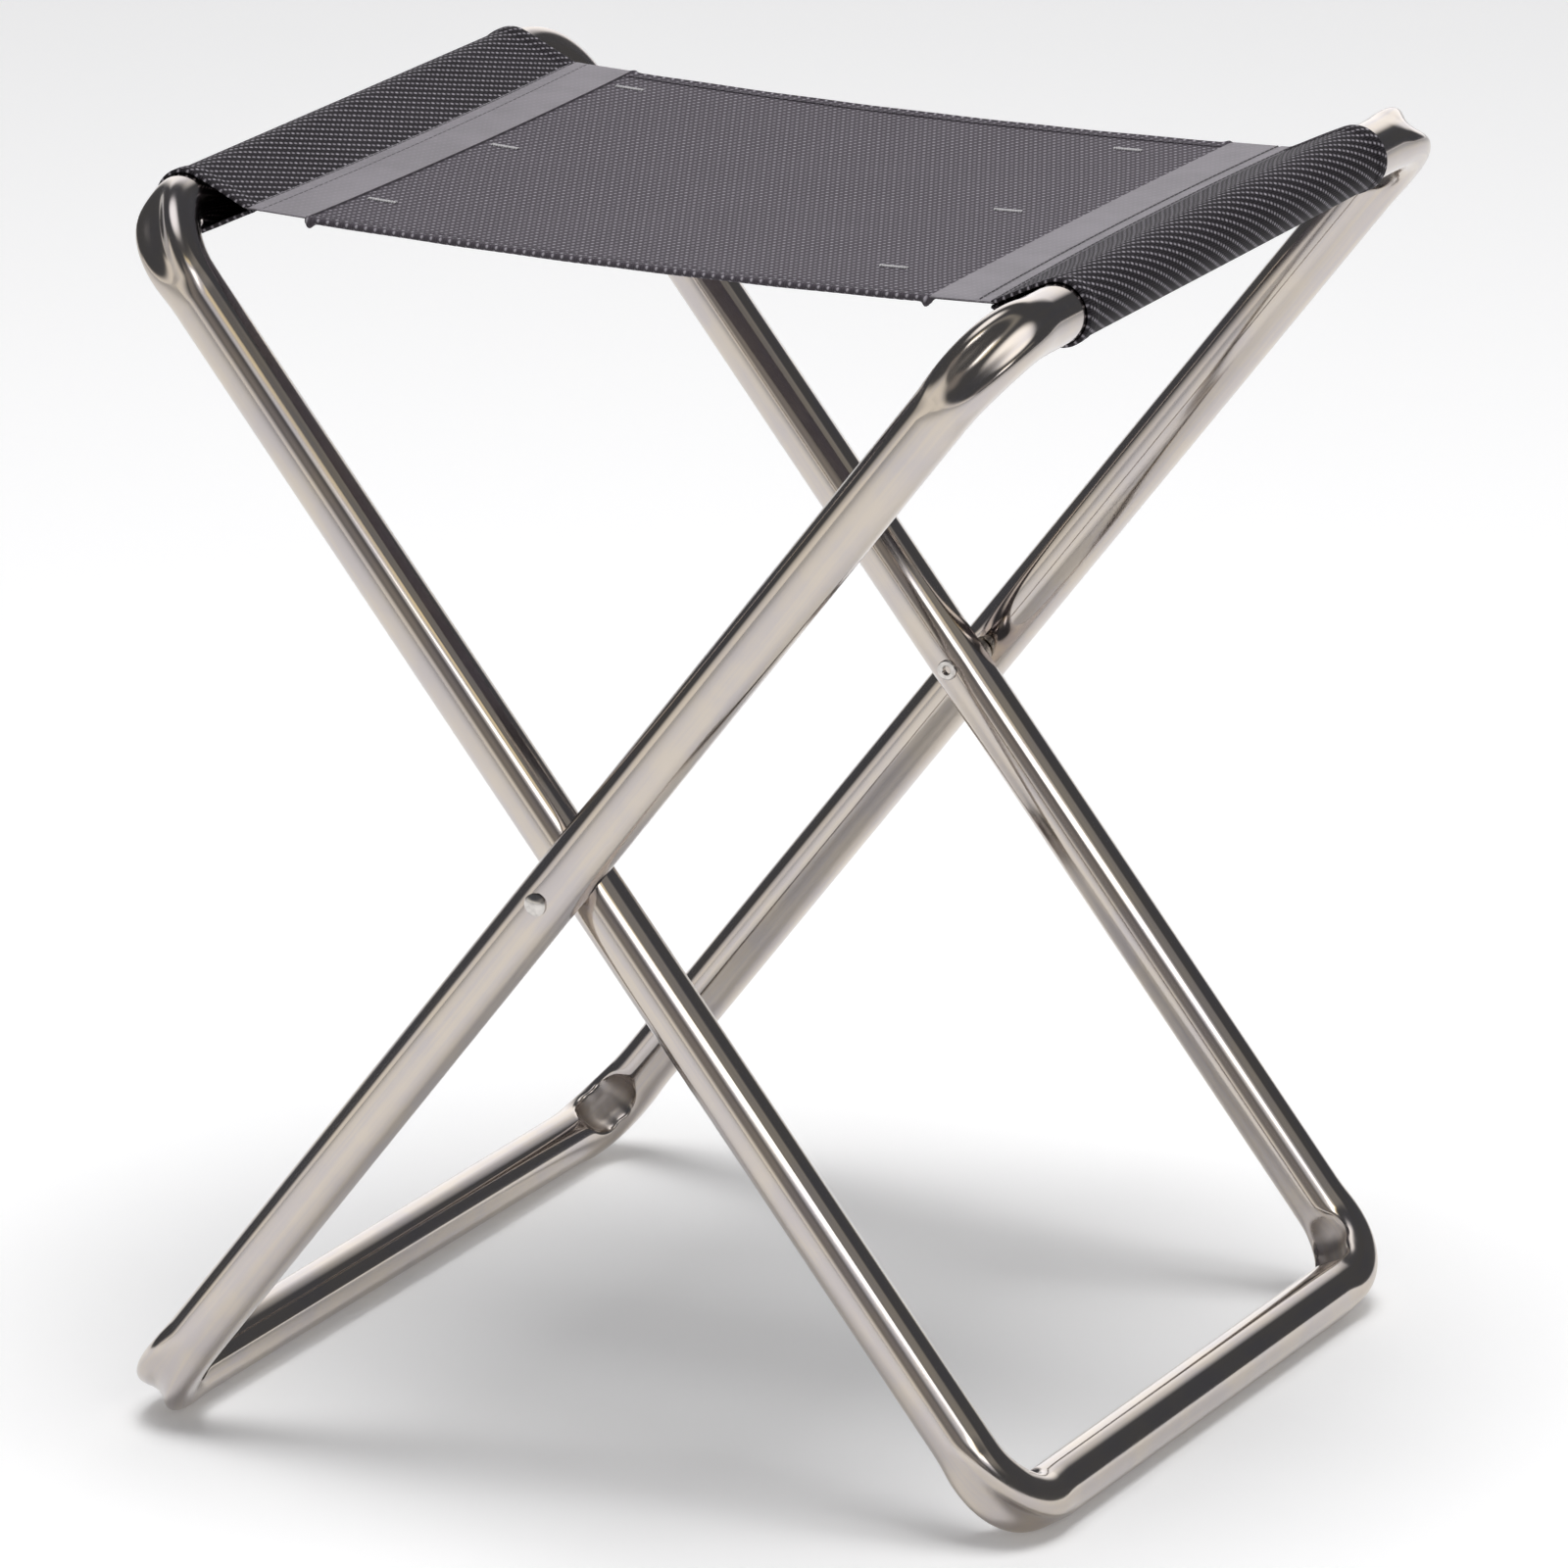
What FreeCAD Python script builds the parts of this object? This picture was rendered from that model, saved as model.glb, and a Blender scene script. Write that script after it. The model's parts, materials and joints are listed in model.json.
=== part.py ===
import FreeCAD, Part
import math
import os
from FreeCAD import Vector

# A folding camp stool: two closed tube frames cross at a riveted pivot, and a cloth seat is hung
# between their top bars. Millimetres and degrees. The origin is on the floor under the middle of
# the stool, +Z up, the top bars run along Y, and the outer frame's top bar is on the +X side.

os.makedirs("parts", exist_ok=True)

# Frames
TUBE_R = 11.0                # outside radius of the round tube
TUBE_WALL = 1.2
LEAN = 38.26                 # each frame's lean from upright when the seat is taut
LEG_ABOVE = 287.7            # pivot to the top bar's centre line, along the leg
LEG_BELOW = 279.7            # pivot to the bottom bar's centre line, along the leg
OUTER_HALF_WIDTH = 178.3     # middle of the stool to the outer frame's leg centre line
INNER_HALF_WIDTH = 151.8
BEND_R = 26.0                # centre-line radius of a corner
BEND_SECTIONS = 19           # sections that a corner is lofted through
SECTION_POINTS = 40          # points round one crushed section
JOIN_TOLERANCE = 0.001       # a corner's end is a spline within this of the straight tube's circle
BUTT_GAP = 0.3               # where the two ends of a loop meet, in the middle of its top bar

# The crushed section of a corner. U is away from the bend's centre, V is across it.
CRUSH_REACH = 30.0           # how far each way from the corner's middle the tube is out of round
SLEEVED_REACH = 20.6         # the same along the inner top bar, which is round where the sleeve turns
CRUSH_DEEP = 10.2            # half its depth along U, before the saddle
CRUSH_WIDE = 11.9            # half its width along V
CRUSH_SQUARE = 3.2           # superellipse power of its outer half; 2 is round
SADDLE = 3.9                 # hollow along the outside of the bend, between two ridges
SADDLE_HALF = 9.5
BOWL = 6.6                   # bowl-shaped buckle on the inside of the bend
BOWL_HALF = 10.2
BOWL_REACH = 25.0
RIDGE_DROP = 0.63            # the lowest ridges, on which the stool stands, under its bottom bars

# Spigot that joins the ends of a loop, inside the top bar
SPIGOT_LENGTH = 80.0
SPIGOT_WALL = 1.5
SPIGOT_SLIP = 0.02           # radial gap to the tube's bore

# Pivot rivets and spacers
RIVET_R = 2.5
RIVET_SNUG = 0.02            # radial gap in the outer leg, which the rivet is fixed to
RIVET_RUNNING = 0.05         # radial gap in the inner leg and the spacer, which turn on it
RIVET_HEAD_R = 4.25
RIVET_HEAD_HEIGHT = 2.0
RIVET_HEAD_RIM = 0.7         # straight rim under the dome
RIVET_HEAD_SKIRT = 1.0       # how far the rim reaches down round the tube
RIVET_TAIL_R = 3.95
RIVET_TAIL_HEIGHT = 1.0
RIVET_TAIL_ROUND = 0.45      # rounding of the rolled tail
RIVET_TAIL_GAP = 0.1         # between the tail and the inner leg
RIVET_BORE_R = 1.6           # the blind bore in the tail
RIVET_BORE_DEPTH = 7.0
SPACER_R = 6.0
SPACER_ROUND = 0.6
SPACER_GAP = 0.1             # between the spacer and each leg

# Seat, for the half on one side. X is measured from the middle of the stool.
CLOTH = 0.8                  # one layer of cloth
SLEEVE_SLIP = 0.05           # radial gap between the bar and the sleeve that turns on it
SEAT_HALF_WIDTH = 125.5
SEAM_REACH = 28.0            # bar's centre to the seam that closes the sleeve
SAG = 3.0                    # the middle of the seat under the seam
PANEL_THICK = 1.0
MID_GAP = 0.15               # from the mid-line to each half of the panel
PANEL_END_GAP = 0.1          # from the panel's end to the seam
HEM_WIDTH = 6.5
HEM_THICK = 2.2
HEM_END = 125.5              # where the rolled hem stops, at the tape's inner edge
TAPE_INNER = 126.0
TAPE_OUTER = 151.0
LAYER_GAP = 0.05             # between stacked layers
FLAP_END = 86.0              # inner edge of the sleeve's return flap, under the panel
TACK_X_RIGHT = 94.0
TACK_X_LEFT = 116.0
TACK_Y = (-88.0, 4.0, 104.0)
TACK_LENGTH = 11.0
TACK_WIDTH = 1.8
TACK_HEIGHT = 0.7
THREAD = 0.5                 # width of a row of stitching
THREAD_HEIGHT = 0.25
SEAM_ROWS = (144.7, 150.2)   # two rows along the tape
HEM_ROW_INSET = 5.6          # hem stitching in from the seat's edge

LEAN_RAD = math.radians(LEAN)
PIVOT_Z = TUBE_R + RIDGE_DROP + LEG_BELOW * math.cos(LEAN_RAD)
BAR_X = LEG_ABOVE * math.sin(LEAN_RAD)
BAR_Z = PIVOT_Z + LEG_ABOVE * math.cos(LEAN_RAD)
SEAM_X = BAR_X - SEAM_REACH
SECTION_KNOTS = [float(i) for i in range(SECTION_POINTS + 1)]


def write(name, shapes):
    """Write one node, which may be a group of separate solids."""
    solids = [solid for shape in shapes for solid in shape.Solids]
    for solid in solids:
        assert solid.isValid() and solid.Volume > 0, name
    shape = solids[0] if len(solids) == 1 else Part.makeCompound(solids)
    shape.exportStep("parts/%s.step" % name)


def place_frame(shape, side):
    """Stand a flat frame, built in the YZ plane about its pivot, at its lean."""
    placed = shape.copy()
    placed.rotate(Vector(0, 0, 0), Vector(0, 1, 0), side * LEAN)
    placed.translate(Vector(0, 0, PIVOT_Z))
    return placed


def crushed_outline(run, inset):
    """Points (u, v) round the tube, at a distance along it from the corner's middle."""
    crush = math.cos(math.pi / 2 * min(abs(run) / CRUSH_REACH, 1)) ** 2
    deep = TUBE_R + crush * (CRUSH_DEEP - TUBE_R)
    wide = TUBE_R + crush * (CRUSH_WIDE - TUBE_R)
    outline = []
    for i in range(SECTION_POINTS):
        turn = 2 * math.pi * (i + 0.5) / SECTION_POINTS
        outer = math.cos(turn) > 0
        power = 2 / (2 + (CRUSH_SQUARE - 2) * crush) if outer else 1
        u = math.copysign(deep * abs(math.cos(turn)) ** power, math.cos(turn))
        v = math.copysign(wide * abs(math.sin(turn)) ** power, math.sin(turn))
        if outer:
            u -= crush * SADDLE * math.cos(math.pi / 2 * min(abs(v) / SADDLE_HALF, 1)) ** 2
        else:
            u += BOWL * (1 - min(math.hypot(v / BOWL_HALF, run / BOWL_REACH), 1) ** 3) ** 2
        outline.append((u, v))
    if inset:
        outline = inset_outline(outline, inset)
    return outline


def inset_outline(outline, inset):
    """Move each point of a closed outline inward, along its normal."""
    count = len(outline)
    moved = []
    for i, (u, v) in enumerate(outline):
        du = outline[(i + 1) % count][0] - outline[i - 1][0]
        dv = outline[(i + 1) % count][1] - outline[i - 1][1]
        length = math.hypot(du, dv)
        moved.append((u - inset * dv / length, v + inset * du / length))
    return moved


def corner(side_y, side_z, half_width, leg, bar_reach, inset):
    """One crushed corner, as a solid out to the tube's skin or, with an inset, to its bore."""
    centre = Vector(0, side_y * (half_width - BEND_R), side_z * (leg - BEND_R))
    wires = []
    for i in range(BEND_SECTIONS):
        share = 2 * i / (BEND_SECTIONS - 1) - 1
        run = share * (bar_reach if share > 0 else CRUSH_REACH)
        bend = min(max(math.pi / 4 + run / BEND_R, 0), math.pi / 2)
        away = Vector(0, side_y * math.cos(bend), side_z * math.sin(bend))
        along = Vector(0, -side_y * math.sin(bend), side_z * math.cos(bend))
        middle = centre + away * BEND_R + along * (run - (bend - math.pi / 4) * BEND_R)
        points = [middle + away * u + Vector(v, 0, 0) for u, v in crushed_outline(share * CRUSH_REACH, inset)]
        curve = Part.BSplineCurve()
        curve.interpolate(Points=points, PeriodicFlag=True, Parameters=SECTION_KNOTS)
        wires.append(Part.Wire(curve.toShape()))
    return Part.makeLoft(wires, True, False)


def corner_length(reach):
    """From a corner's sharp point to the end of its crush."""
    return BEND_R + reach - math.pi / 4 * BEND_R


def loop(half_width, top_reach, inset):
    """A closed rectangular loop of tube, filled out to the skin or, with an inset, to the bore."""
    radius = TUBE_R - inset
    leg_end = corner_length(CRUSH_REACH)
    leg_length = LEG_ABOVE + LEG_BELOW - 2 * leg_end
    pieces = []
    for side in (-1, 1):
        foot = Vector(0, side * half_width, leg_end - LEG_BELOW)
        pieces.append(Part.makeCylinder(radius, leg_length, foot, Vector(0, 0, 1)))
        pieces.append(corner(side, 1, half_width, LEG_ABOVE, top_reach, inset))
        pieces.append(corner(side, -1, half_width, LEG_BELOW, CRUSH_REACH, inset))
    for level, reach in ((-LEG_BELOW, CRUSH_REACH), (LEG_ABOVE, top_reach)):
        bar_end = half_width - corner_length(reach)
        start = Vector(0, -bar_end, level)
        pieces.append(Part.makeCylinder(radius, 2 * bar_end, start, Vector(0, 1, 0)))
    return pieces[0].multiFuse(pieces[1:], JOIN_TOLERANCE).removeSplitter()


def frame_tube(half_width, top_reach, bore_r, side):
    """One frame: a hollow loop with a butt joint in its top bar and a rivet bore in each leg."""
    tube = loop(half_width, top_reach, 0).cut(loop(half_width, top_reach, TUBE_WALL))
    cut_size = 4 * TUBE_R
    butt_corner = Vector(-cut_size / 2, -BUTT_GAP / 2, LEG_ABOVE - cut_size / 2)
    butt = Part.makeBox(cut_size, BUTT_GAP, cut_size, butt_corner)
    reach = half_width + 2 * TUBE_R
    bore = Part.makeCylinder(bore_r, 2 * reach, Vector(0, -reach, 0), Vector(0, 1, 0))
    return place_frame(tube.cut(butt).cut(bore), side)


def spigot(side):
    """The short inner tube that joins the two ends of a loop."""
    outer_r = TUBE_R - TUBE_WALL - SPIGOT_SLIP
    start = Vector(0, -SPIGOT_LENGTH / 2, LEG_ABOVE)
    body = Part.makeCylinder(outer_r, SPIGOT_LENGTH, start, Vector(0, 1, 0))
    hollow = Part.makeCylinder(outer_r - SPIGOT_WALL, SPIGOT_LENGTH, start, Vector(0, 1, 0))
    return place_frame(body.cut(hollow), side)


def rivet(side):
    """A semi-tubular rivet: domed head outside the outer leg, rolled tail inside the inner leg."""
    seat = OUTER_HALF_WIDTH + TUBE_R
    tail = INNER_HALF_WIDTH - TUBE_R - RIVET_TAIL_GAP
    end = tail - RIVET_TAIL_HEIGHT
    origin = Vector(0, side * seat, PIVOT_Z)
    out = Vector(0, side, 0)
    rim_start = Vector(0, side * (seat - RIVET_HEAD_SKIRT), PIVOT_Z)
    rim = Part.makeCylinder(RIVET_HEAD_R, RIVET_HEAD_SKIRT + RIVET_HEAD_RIM, rim_start, out)
    rise = RIVET_HEAD_HEIGHT - RIVET_HEAD_RIM
    dome_r = (RIVET_HEAD_R ** 2 + rise ** 2) / (2 * rise)
    dome_centre = origin + out * (RIVET_HEAD_HEIGHT - dome_r)
    above = Part.makeCylinder(RIVET_HEAD_R, rise, origin + out * RIVET_HEAD_RIM, out)
    dome = Part.makeSphere(dome_r, dome_centre).common(above)
    leg_start = Vector(0, side * OUTER_HALF_WIDTH, -LEG_BELOW)
    leg = Part.makeCylinder(TUBE_R, LEG_BELOW + LEG_ABOVE, leg_start, Vector(0, 0, 1))
    head = rim.fuse(dome).cut(place_frame(leg, 1))
    shank = Part.makeCylinder(RIVET_R, seat - end, Vector(0, side * end, PIVOT_Z), out)
    flange = Part.makeCylinder(RIVET_TAIL_R, RIVET_TAIL_HEIGHT, Vector(0, side * end, PIVOT_Z), out)
    rolled = [e for e in flange.Edges if isinstance(e.Curve, Part.Circle)]
    flange = flange.makeFillet(RIVET_TAIL_ROUND, rolled)
    bore = Part.makeCylinder(RIVET_BORE_R, RIVET_BORE_DEPTH, Vector(0, side * end, PIVOT_Z), out)
    return head.fuse(shank).fuse(flange).cut(bore)


def spacer(side):
    """The turned metal washer that keeps the two legs apart."""
    start = INNER_HALF_WIDTH + TUBE_R + SPACER_GAP
    end = OUTER_HALF_WIDTH - TUBE_R - SPACER_GAP
    out = Vector(0, side, 0)
    base = Vector(0, side * start, PIVOT_Z)
    body = Part.makeCylinder(SPACER_R, end - start, base, out)
    rims = [e for e in body.Edges if isinstance(e.Curve, Part.Circle)]
    body = body.makeFillet(SPACER_ROUND, rims)
    hole = Part.makeCylinder(RIVET_R + RIVET_RUNNING, end - start, base, out)
    return body.cut(hole)


def seat_height(x):
    """Height of the middle of the cloth at a distance x from the mid-line."""
    return BAR_Z - SAG * (1 - (x / SEAM_X) ** 2)


def seat_strip(side, x_span, heights, y_span):
    """A strip of the seat that follows its sag, between two heights over the cloth's middle."""
    x_start, x_end = x_span
    x_mid = (x_start + x_end) / 2
    low, high = heights
    edges = []
    for offset in (low, high):
        three = [Vector(side * x, y_span[0], seat_height(x) + offset) for x in (x_start, x_mid, x_end)]
        edges.append(Part.Arc(*three).toShape())
    for x in (x_start, x_end):
        foot = Vector(side * x, y_span[0], seat_height(x) + low)
        top = Vector(side * x, y_span[0], seat_height(x) + high)
        edges.append(Part.LineSegment(foot, top).toShape())
    face = Part.Face(Part.Wire(Part.__sortEdges__(edges)))
    return face.extrude(Vector(0, y_span[1] - y_span[0], 0))


def teardrop(side, radius):
    """A filled teardrop round the bar whose two flat sides meet at the seam."""
    reach = SEAM_REACH * radius / (TUBE_R + SLEEVE_SLIP + CLOTH)
    lift = math.asin(radius / reach)
    touch_x = BAR_X - radius * math.sin(lift)
    touch_z = radius * math.cos(lift)
    y = -SEAT_HALF_WIDTH
    tip = Vector(side * (BAR_X - reach), y, BAR_Z)
    top = Vector(side * touch_x, y, BAR_Z + touch_z)
    far = Vector(side * (BAR_X + radius), y, BAR_Z)
    under = Vector(side * touch_x, y, BAR_Z - touch_z)
    edges = [
        Part.LineSegment(tip, top).toShape(),
        Part.Arc(top, far, under).toShape(),
        Part.LineSegment(under, tip).toShape(),
    ]
    return Part.Face(Part.Wire(edges)).extrude(Vector(0, 2 * SEAT_HALF_WIDTH, 0))


def sleeve(side):
    """The cloth loop that holds the seat on a top bar."""
    bore_r = TUBE_R + SLEEVE_SLIP
    return teardrop(side, bore_r + CLOTH).cut(teardrop(side, bore_r))


def panel(side):
    """One half of the seat cloth, between its hems."""
    half_width = SEAT_HALF_WIDTH - HEM_WIDTH
    heights = (-PANEL_THICK / 2, PANEL_THICK / 2)
    return seat_strip(side, (MID_GAP, SEAM_X - PANEL_END_GAP), heights, (-half_width, half_width))


def hem(side, edge):
    """The rolled hem along one half of the front or back edge."""
    outer = edge * SEAT_HALF_WIDTH
    inner = edge * (SEAT_HALF_WIDTH - HEM_WIDTH)
    heights = (-HEM_THICK / 2, HEM_THICK / 2)
    return seat_strip(side, (MID_GAP, HEM_END), heights, (min(outer, inner), max(outer, inner)))


def tape(side):
    """The smooth tape sewn over the end of the panel and the seam of the sleeve."""
    low = PANEL_THICK / 2 + LAYER_GAP
    span = (-SEAT_HALF_WIDTH, SEAT_HALF_WIDTH)
    return seat_strip(side, (TAPE_INNER, TAPE_OUTER), (low, low + CLOTH), span)


def flap(side):
    """The sleeve's return flap, which lies under the panel and is held by the tacks."""
    high = -PANEL_THICK / 2 - LAYER_GAP
    half_width = SEAT_HALF_WIDTH - HEM_WIDTH
    x_span = (FLAP_END, SEAM_X - PANEL_END_GAP)
    return seat_strip(side, x_span, (high - CLOTH, high), (-half_width, half_width))


def tacks(side):
    """Three short bars of dense stitching through the panel and its flap."""
    middle = TACK_X_RIGHT if side > 0 else TACK_X_LEFT
    x_span = (middle - TACK_LENGTH / 2, middle + TACK_LENGTH / 2)
    heights = (PANEL_THICK / 2, PANEL_THICK / 2 + TACK_HEIGHT)
    bars = []
    for y in TACK_Y:
        bars.append(seat_strip(side, x_span, heights, (y - TACK_WIDTH / 2, y + TACK_WIDTH / 2)))
    return bars


def stitching(side):
    """Two rows along the tape and one row along each hem."""
    rows = []
    on_tape = PANEL_THICK / 2 + LAYER_GAP + CLOTH
    y_span = (-SEAT_HALF_WIDTH, SEAT_HALF_WIDTH)
    for x in SEAM_ROWS:
        x_span = (x - THREAD / 2, x + THREAD / 2)
        rows.append(seat_strip(side, x_span, (on_tape, on_tape + THREAD_HEIGHT), y_span))
    on_hem = HEM_THICK / 2
    for edge in (-1, 1):
        y = edge * (SEAT_HALF_WIDTH - HEM_ROW_INSET)
        y_span = (y - THREAD / 2, y + THREAD / 2)
        rows.append(seat_strip(side, (MID_GAP, HEM_END), (on_hem, on_hem + THREAD_HEIGHT), y_span))
    return rows


write("outer_frame_tube", [frame_tube(OUTER_HALF_WIDTH, CRUSH_REACH, RIVET_R + RIVET_SNUG, 1)])
write("inner_frame_tube", [frame_tube(INNER_HALF_WIDTH, SLEEVED_REACH, RIVET_R + RIVET_RUNNING, -1)])
write("outer_frame_spigot", [spigot(1)])
write("inner_frame_spigot", [spigot(-1)])
write("pivot_rivets", [rivet(-1), rivet(1)])
write("pivot_spacers", [spacer(-1), spacer(1)])
for side, name in ((1, "right"), (-1, "left")):
    write("bar_sleeve_" + name, [sleeve(side)])
    write("seat_panel_" + name, [panel(side)])
    write("front_hem_" + name, [hem(side, -1)])
    write("back_hem_" + name, [hem(side, 1)])
    write("seam_tape_" + name, [tape(side)])
    write("sleeve_flap_" + name, [flap(side)])
    write("tacks_" + name, tacks(side))
    write("stitching_" + name, stitching(side))
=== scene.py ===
import bpy
import json
import math
import numpy as np
from mathutils import Matrix, Vector


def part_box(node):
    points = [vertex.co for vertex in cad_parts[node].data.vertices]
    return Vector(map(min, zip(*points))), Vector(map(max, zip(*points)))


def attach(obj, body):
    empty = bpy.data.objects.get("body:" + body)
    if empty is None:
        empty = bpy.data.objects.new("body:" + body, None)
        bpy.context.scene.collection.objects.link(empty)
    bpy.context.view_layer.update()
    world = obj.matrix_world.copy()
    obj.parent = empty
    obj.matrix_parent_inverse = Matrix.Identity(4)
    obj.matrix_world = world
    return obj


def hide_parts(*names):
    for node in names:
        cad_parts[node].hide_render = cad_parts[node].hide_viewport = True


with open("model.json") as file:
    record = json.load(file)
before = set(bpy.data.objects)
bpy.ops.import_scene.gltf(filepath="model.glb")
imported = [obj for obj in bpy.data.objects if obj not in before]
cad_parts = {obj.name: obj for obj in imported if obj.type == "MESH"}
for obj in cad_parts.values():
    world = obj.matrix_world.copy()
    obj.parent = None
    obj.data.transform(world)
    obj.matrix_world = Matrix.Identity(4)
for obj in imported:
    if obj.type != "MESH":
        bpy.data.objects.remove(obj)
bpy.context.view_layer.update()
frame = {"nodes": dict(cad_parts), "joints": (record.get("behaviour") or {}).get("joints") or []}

# Metres and radians. Places come from the frame; what the frame can't say is named here.
MM = 0.001

# ---- what the frame says ----
joints = {j["name"]: j for j in frame["joints"]}
PIVOT_Z = joints["fold"]["pos_m"][2]
BAR_X = joints["seat_turn_right"]["pos_m"][0]
BAR_Z = joints["seat_turn_right"]["pos_m"][2]
TUBE_R = 11 * MM
OUTER_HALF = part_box("outer_frame_tube")[1].y - TUBE_R
INNER_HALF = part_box("inner_frame_tube")[1].y - TUBE_R
LEAN = math.atan2(BAR_X, BAR_Z - PIVOT_Z)
LEG_ABOVE = math.hypot(BAR_X, BAR_Z - PIVOT_Z)
RIDGE_DROP = 0.63 * MM
LEG_BELOW = (PIVOT_Z - TUBE_R - RIDGE_DROP) / math.cos(LEAN)
SEAT_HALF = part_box("bar_sleeve_right")[1].y
SEAM_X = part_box("bar_sleeve_right")[0].x

# ---- tube ----
BEND_R = 26 * MM
CRUSH_REACH = 30 * MM        # how far each way from a bend's middle the tube is out of round
SLEEVED_REACH = 20.6 * MM    # the same along the inner frame's top bar, under the sleeve
CRUSH_DEEP = 10.2 * MM       # half the crushed tube's depth, before the saddle
CRUSH_WIDE = 11.9 * MM       # half its width
CRUSH_SQUARE = 3.2           # superellipse power of its outer side
SADDLE = 3.9 * MM            # hollow along the outside of the bend
SADDLE_HALF = 9.5 * MM
BOWL = 6.6 * MM              # bowl-shaped buckle on the inside of the bend
BOWL_HALF = 10.2 * MM
BOWL_PINCH = 1.4 * MM
BOWL_REACH = 25 * MM
BOWL_RIDGE = 1.3 * MM
BOWL_RIDGE_REACH = 5 * MM
LIP = 0.5 * MM
LIP_WIDTH = 0.16
ROUND_POINTS = 96
BEND_STEP = 0.9 * MM
STRAIGHT_STEP = 20 * MM
DENT_SHALLOW = 0.15 * MM     # under a rivet's head or tail
DENT_DEEP = 1.1 * MM         # where the legs face each other
DENT_RADIUS = 6.0 * MM
DENT_ZONE = 16 * MM

# ---- cloth ----
CLOTH = 0.8 * MM
CLOTH_GAP = 0.05 * MM        # between two layers, and between a sleeve and its bar
SLEEVE_R = TUBE_R + CLOTH_GAP + CLOTH / 2
SEAM_BOW = 3.0 * MM          # how much further out a seam lies at its ends than at its middle
PANEL_THICK = 1.0 * MM
SAG = BAR_Z - (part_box("seat_panel_right")[0].z + PANEL_THICK / 2)
DISH = 1.2 * MM              # extra sag half way between the hems
HEM_WIDTH = 6.5 * MM
LAP = 0.4 * MM               # how far the panel reaches into the hems, and the hems under the tape
TAPE_INNER = 126 * MM
TAPE_OUTER = 151 * MM
SEAM_ROWS = (144.7 * MM, 150.2 * MM)
FLAP_END = 86 * MM
TACK_X = {1: 94 * MM, -1: 116 * MM}
TACK_Y = (-88 * MM, 4 * MM, 104 * MM)


def smoothstep(low, high, value):
    t = np.clip((value - low) / (high - low), 0, 1)
    return t * t * (3 - 2 * t)


# ---------------------------------------------------------------- mesh helpers

def new_object(name, points, faces, body, material, stands_for=(), uv=None, sharp=None):
    """A smooth mesh object on a body, the nodes it stands for and its weave map."""
    mesh = bpy.data.meshes.new(name)
    mesh.from_pydata([tuple(p) for p in points], [], [tuple(f) for f in faces])
    mesh.polygons.foreach_set("use_smooth", [True] * len(mesh.polygons))
    if uv is not None:
        layer = mesh.uv_layers.new(name="weave")
        corners = np.zeros(len(mesh.loops), int)
        mesh.loops.foreach_get("vertex_index", corners)
        layer.data.foreach_set("uv", np.asarray(uv, float)[corners].ravel())
    mesh.materials.append(material)
    if sharp is not None:
        mesh.set_sharp_from_angle(angle=math.radians(sharp))
    mesh.validate()
    mesh.update()
    piece = bpy.data.objects.new(name, mesh)
    bpy.context.scene.collection.objects.link(piece)
    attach(piece, body)
    if stands_for:
        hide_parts(*stands_for)
    return piece


def grid_faces(rows, columns, start=0, close_rows=False, close_columns=False, flip=False):
    """Quads of a grid of vertices numbered row by row."""
    faces = []
    for i in range(rows if close_rows else rows - 1):
        for j in range(columns if close_columns else columns - 1):
            a = start + i * columns + j
            b = start + i * columns + (j + 1) % columns
            c = start + ((i + 1) % rows) * columns + (j + 1) % columns
            d = start + ((i + 1) % rows) * columns + j
            faces.append((a, d, c, b) if flip else (a, b, c, d))
    return faces


def grid_normals(middle):
    """Unit normals of a grid of points, by differences along both ways."""
    along = np.gradient(middle, axis=0)
    across = np.gradient(middle, axis=1)
    normal = np.cross(along, across)
    return normal / np.linalg.norm(normal, axis=2, keepdims=True)


def cloth_solid(middle, above, below, uv):
    """A closed sheet round a grid of middle points: how far each side stands off, and the map."""
    rows, columns = middle.shape[:2]
    normal = grid_normals(middle)
    top = middle + normal * above[..., None]
    bottom = middle - normal * below[..., None]
    points = np.concatenate([top.reshape(-1, 3), bottom.reshape(-1, 3)])
    count = rows * columns
    faces = grid_faces(rows, columns)
    faces += grid_faces(rows, columns, count, flip=True)
    rim = [(0, j) for j in range(columns)]
    rim += [(i, columns - 1) for i in range(1, rows)]
    rim += [(rows - 1, j) for j in range(columns - 2, -1, -1)]
    rim += [(i, 0) for i in range(rows - 2, 0, -1)]
    flat = [i * columns + j for i, j in rim]
    for k, a in enumerate(flat):
        b = flat[(k + 1) % len(flat)]
        faces.append((b, a, a + count, b + count))
    return points, faces, np.concatenate([uv.reshape(-1, 2), uv.reshape(-1, 2)])


def mirrored(points, faces, side):
    """Points and faces of the right half, or of its mirror image on the left."""
    points = np.array(points, float)
    if side > 0:
        return points, faces
    points[:, 0] *= -1
    return points, [tuple(reversed(f)) for f in faces]


# ---------------------------------------------------------------- materials

def node_tree(material):
    material.use_nodes = True
    tree = material.node_tree
    shader = tree.nodes["Principled BSDF"]
    return tree, shader


def math_node(tree, kind, a, b=None, clamp=False):
    node = tree.nodes.new("ShaderNodeMath")
    node.operation = kind
    node.use_clamp = clamp
    for socket, value in zip(node.inputs, (a, b)):
        if value is None:
            continue
        if isinstance(value, (int, float)):
            socket.default_value = value
        else:
            tree.links.new(value, socket)
    return node.outputs[0]


def range_node(tree, value, low, high, out_low=0.0, out_high=1.0):
    node = tree.nodes.new("ShaderNodeMapRange")
    node.interpolation_type = "SMOOTHSTEP"
    tree.links.new(value, node.inputs["Value"])
    for name, number in (("From Min", low), ("From Max", high), ("To Min", out_low), ("To Max", out_high)):
        node.inputs[name].default_value = number
    return node.outputs[0]


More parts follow.
